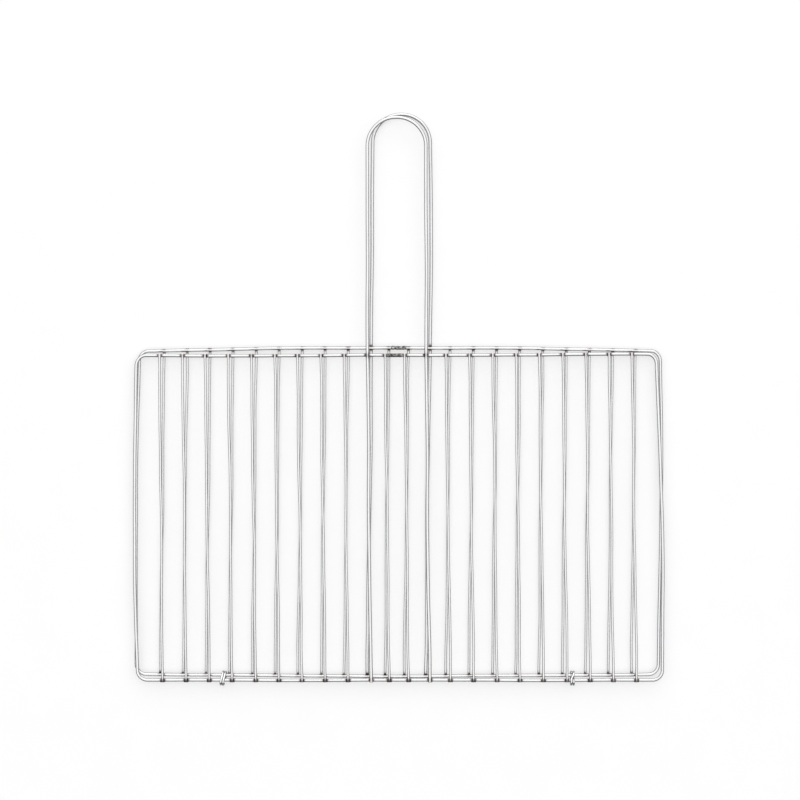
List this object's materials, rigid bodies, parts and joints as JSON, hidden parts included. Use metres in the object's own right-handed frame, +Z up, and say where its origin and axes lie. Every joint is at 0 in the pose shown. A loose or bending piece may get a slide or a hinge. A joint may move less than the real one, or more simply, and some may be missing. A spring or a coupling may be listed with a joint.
{
  "type": "grill basket",
  "caption": "Flat hinged wire grill basket: a long looped handle and two welded wire grids that close face to face to hold food over a fire.",
  "frame": {"origin": "under the middle of the closed basket, on the surface it lies on", "axes": "+X to the right seen from above with the handle up, +Y from the hinge towards the handle, +Z up through the thickness"},
  "size_m": [0.4602, 0.4983, 0.0116],
  "materials": {
    "frame_wire": "bright plated drawn wire",
    "handle_wire": "bright plated drawn wire",
    "rod_wire": "bright plated drawn wire",
    "link_wire": "bright plated wire",
    "weld_metal": "rough dark weld bead under thin plating"
  },
  "bodies": {
    "lower_grid": {"lower_frame": "frame_wire", "lower_handle": "handle_wire", "lower_frame_weld": "weld_metal", "lower_rod_01": "rod_wire", "lower_rod_02": "rod_wire", "lower_rod_03": "rod_wire", "lower_rod_04": "rod_wire", "lower_rod_05": "rod_wire", "lower_rod_06": "rod_wire", "lower_rod_07": "rod_wire", "lower_rod_08": "rod_wire", "lower_rod_09": "rod_wire", "lower_rod_10": "rod_wire", "lower_rod_11": "rod_wire", "lower_rod_12": "rod_wire", "lower_rod_13": "rod_wire", "lower_rod_14": "rod_wire", "lower_rod_15": "rod_wire", "lower_rod_16": "rod_wire", "lower_rod_17": "rod_wire", "lower_rod_18": "rod_wire", "lower_rod_19": "rod_wire", "lower_rod_20": "rod_wire"},
    "upper_grid": {"upper_frame": "frame_wire", "upper_handle": "handle_wire", "upper_frame_weld": "weld_metal", "upper_rod_01": "rod_wire", "upper_rod_02": "rod_wire", "upper_rod_03": "rod_wire", "upper_rod_04": "rod_wire", "upper_rod_05": "rod_wire", "upper_rod_06": "rod_wire", "upper_rod_07": "rod_wire", "upper_rod_08": "rod_wire", "upper_rod_09": "rod_wire", "upper_rod_10": "rod_wire", "upper_rod_11": "rod_wire", "upper_rod_12": "rod_wire", "upper_rod_13": "rod_wire", "upper_rod_14": "rod_wire", "upper_rod_15": "rod_wire", "upper_rod_16": "rod_wire", "upper_rod_17": "rod_wire", "upper_rod_18": "rod_wire", "upper_rod_19": "rod_wire", "upper_rod_20": "rod_wire"},
    "left_link": {"left_hinge_link": "link_wire"},
    "right_link": {"right_hinge_link": "link_wire"}
  },
  "joints": [
    {"name": "lid_open", "type": "hinge", "parent": "lower_grid", "child": "upper_grid", "pos_m": [0, -0.2446, 0.00575], "axis": [1, 0, 0], "range_deg": [0, 180]},
    {"name": "left_link_swing", "type": "hinge", "parent": "lower_grid", "child": "left_link", "pos_m": [-0.1517, -0.2404, 0.00415], "axis": [1, 0, 0], "range_deg": [0, 37.9]},
    {"name": "right_link_swing", "type": "hinge", "parent": "lower_grid", "child": "right_link", "pos_m": [0.1506, -0.2404, 0.00415], "axis": [1, 0, 0], "range_deg": [0, 37.9]}
  ],
  "couplings": [
    {"joint": "left_link_swing", "follows": "lid_open", "ratio": 0.21},
    {"joint": "right_link_swing", "follows": "lid_open", "ratio": 0.21}
  ]
}
